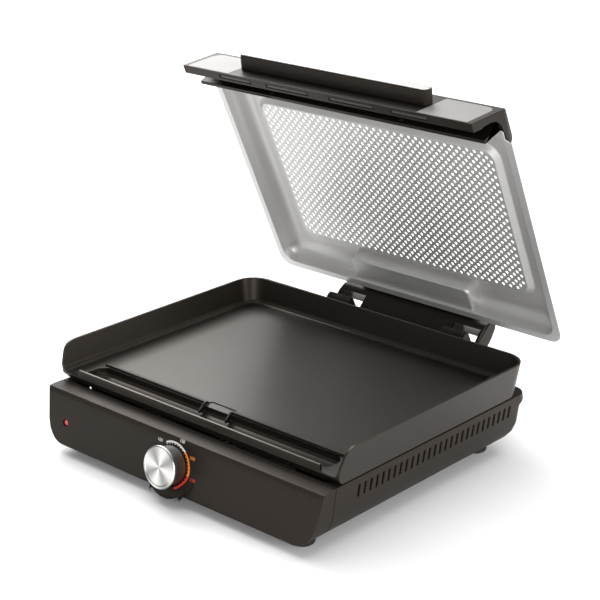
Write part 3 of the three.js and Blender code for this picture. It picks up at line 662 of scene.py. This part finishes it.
def onFascia(x, up, lift=0.0):
    # a point of the dial's plane dropped on to the moulding
    start = dialPose + dialRight * x + dialUp * up + dialOut * castFrom
    place, _, _, _ = fascia.ray_cast(start, -dialOut)
    return (place or start - dialOut * castFrom) + dialOut * lift


def printedPiece(name, cells, slot):
    # cells are closed loops of (x, up); each becomes a thin closed pad on the moulding
    bm = bmesh.new()
    for loop in cells:
        top = [bm.verts.new(onFascia(x, up, dialPrint["thickness"])) for x, up in loop]
        bottom = [bm.verts.new(onFascia(x, up, -dialPrint["sunk"])) for x, up in loop]
        bm.faces.new(top)
        bm.faces.new(list(reversed(bottom)))
        for k in range(len(loop)):
            j = (k + 1) % len(loop)
            bm.faces.new((top[k], bottom[k], bottom[j], top[j]))
    bmesh.ops.recalc_face_normals(bm, faces=bm.faces)
    newPiece(name, bm, slot, "base")


def polar(radius, degrees):
    turn = math.radians(degrees)
    return radius * math.cos(turn), radius * math.sin(turn)


def arcCells(start, end):
    plan = dialPrint
    steps = round((start - end) / plan["cell"])
    turns = [start + (end - start) * k / steps for k in range(steps + 1)]
    cells = []
    for a, b in zip(turns, turns[1:]):
        middle = (a + b) / 2
        reach = plan["inner"] - plan["tooth"] * (len(cells) % plan["toothEvery"] == 0)
        rim = [polar(plan["outer"], turn) for turn in (a, middle, b)]
        cells.append(rim + [polar(reach, turn) for turn in (b, middle, a)])
    return cells


for name, start, end, ink in dialPrint["bands"]:
    printedPiece("dial_arc_" + name, arcCells(start, end), ink)


def printedNumber(text, x, up, slot):
    data = bpy.data.curves.new("number", "FONT")
    data.body = text
    data.size = dialPrint["textSize"]
    data.align_x = "CENTER"
    data.align_y = "CENTER"
    data.extrude = dialPrint["thickness"] / 2
    holder = bpy.data.objects.new("number", data)
    bpy.context.scene.collection.objects.link(holder)
    bpy.context.view_layer.update()
    depsgraph = bpy.context.evaluated_depsgraph_get()
    mesh = bpy.data.meshes.new_from_object(holder.evaluated_get(depsgraph))
    bpy.data.objects.remove(holder)
    bm = bmesh.new()
    bm.from_mesh(mesh)
    bmesh.ops.remove_doubles(bm, verts=bm.verts, dist=0.001 * mm)
    centre = onFascia(x, up, dialPrint["thickness"] / 2)
    # two short chords of the moulding give the way the number lies on it
    chord = 2 * mm
    sideways = (onFascia(x + chord, up) - onFascia(x - chord, up)).normalized()
    upwards = (onFascia(x, up + chord) - onFascia(x, up - chord)).normalized()
    out = sideways.cross(upwards)
    turn = Matrix((sideways, upwards, out)).transposed().to_4x4()
    bmesh.ops.transform(bm, matrix=Matrix.Translation(centre) @ turn, verts=bm.verts)
    bpy.data.meshes.remove(mesh)
    newPiece("dial_number_" + text, bm, slot, "base")


for text, x, up, ink in dialPrint["numbers"]:
    printedNumber(text, x * mm, up * mm, ink)
print("dial printed")

# painted highlight and shade on the dial face: how many wedges, their turn, and how dark and light the colour goes
paintedSheenWedges = {"wedges": 4, "phase": 0.7, "dark": 0.5, "light": 1.25}


def paintSpunHighlightWedges(material, plan):
    # painted highlight and painted shade: the base colour goes lighter and darker in wedges round the knob's own
    # axis, standing in for the light the spun rings throw
    tree = material.node_tree
    base = tree.nodes["Principled BSDF"].inputs["Base Color"]
    place = addNode(tree, "ShaderNodeTexCoord").outputs["Object"]
    arm = addNode(tree, "ShaderNodeVectorMath", {"operation": "SUBTRACT"}, {0: place})
    arm.inputs[1].default_value = dialPose
    parts = []
    for direction in (dialRight, dialUp):
        dot = addNode(tree, "ShaderNodeVectorMath", {"operation": "DOT_PRODUCT"}, {0: arm.outputs["Vector"]})
        dot.inputs[1].default_value = direction
        parts.append(dot.outputs["Value"])
    turn = addNode(tree, "ShaderNodeMath", {"operation": "ARCTAN2"}, {0: parts[1], 1: parts[0]})
    swing = addNode(tree, "ShaderNodeMath", {"operation": "MULTIPLY_ADD"}, {0: turn.outputs["Value"]})
    swing.inputs[1].default_value = plan["wedges"]
    swing.inputs[2].default_value = plan["phase"]
    wave = addNode(tree, "ShaderNodeMath", {"operation": "COSINE"}, {0: swing.outputs["Value"]})
    amount = addNode(
        tree,
        "ShaderNodeMapRange",
        {"From Min": -1, "From Max": 1, "To Min": plan["dark"], "To Max": plan["light"]},
        {"Value": wave.outputs["Value"]},
    )
    mixed = addNode(
        tree,
        "ShaderNodeVectorMath",
        {"operation": "MULTIPLY"},
        {0: base.links[0].from_socket, 1: amount.outputs["Result"]},
    )
    tree.links.new(mixed.outputs["Vector"], base)


# paints the highlight and shade wedges into the dial face's colour
paintSpunHighlightWedges(materials["spunSteelPaintedSheen"], paintedSheenWedges)
finished["knob_face"].data.materials[0] = materials["spunSteelPaintedSheen"]
pointer = {
    "turn": -26,  # degrees, anticlockwise from the right
    "inner": 20.4,
    "outer": 24.0,
    "tipHalfWidth": 0.3,
    "halfWidth": 1.5,
    "sunk": 1.2,
    "height": 0.8,
    "chamfer": 0.3,
}


def makePointer(plan):
    # a small raised wedge near the rim of the knob's face
    corners = [finished["knob_face"].matrix_world @ v.co for v in finished["knob_face"].data.vertices]
    front = max((c - dialPose).dot(dialOut) for c in corners)
    turn = math.radians(plan["turn"])
    along = dialRight * math.cos(turn) + dialUp * math.sin(turn)
    across = dialOut.cross(along)
    bm = bmesh.new()
    rings = []
    for level, inset in (
        (-plan["sunk"], 0),
        (plan["height"] - plan["chamfer"], 0),
        (plan["height"], plan["chamfer"]),
    ):
        outline = (
            (plan["inner"] + inset, plan["tipHalfWidth"]),
            (plan["inner"] + inset, -plan["tipHalfWidth"]),
            (plan["outer"] - inset, -plan["halfWidth"] + inset),
            (plan["outer"] - inset, plan["halfWidth"] - inset),
        )
        base = dialPose + dialOut * (front + level * mm)
        rings.append([bm.verts.new(base + along * (r * mm) + across * (w * mm)) for r, w in outline])
    skinRings(bm, rings)
    newPiece("knob_pointer", bm, "ink", "knob")


makePointer(pointer)
print("knob marked")

# grey pads in the slots under the visor's lip
lipPads = {
    "spans": ((17.5, 80.5), (108.5, 157.5)),  # mm from the middle, on each side
    "forward": 354,  # mm from the pan's rear edge
    "halfWidth": 1.9,
    "bottom": -43.9,  # mm above the rim
    "thickness": 1.2,
    "chamfer": 0.3,
    "sides": 16,
}


def makeLipPad(name, start, end, plan):
    y = hinge.y + lidPlan["rearBehindHinge"] - plan["forward"] * mm
    bottom = hinge.z + lidPlan["rimAboveHinge"] + plan["bottom"] * mm
    bm = bmesh.new()
    rings = []
    for rise, inset in ((0, plan["chamfer"]), (plan["chamfer"], 0), (plan["thickness"], 0)):
        radius = plan["halfWidth"] - inset
        ring = []
        for k in range(plan["sides"]):
            turn = 2 * math.pi * (k + 0.5) / plan["sides"]
            centre = end - plan["halfWidth"] if math.cos(turn) > 0 else start + plan["halfWidth"]
            x = centre + radius * math.cos(turn)
            ring.append(bm.verts.new((x * mm, y + radius * math.sin(turn) * mm, bottom + rise * mm)))
        rings.append(ring)
    skinRings(bm, rings)
    bmesh.ops.transform(bm, matrix=closedToRest, verts=bm.verts)
    newPiece(name, bm, "lipPad", "lid")


for number, (near, far) in enumerate(lipPads["spans"], 1):
    makeLipPad(f"lip_pad_right_{number}", near, far, lipPads)
    makeLipPad(f"lip_pad_left_{number}", -far, -near, lipPads)
print("lip pads laid")
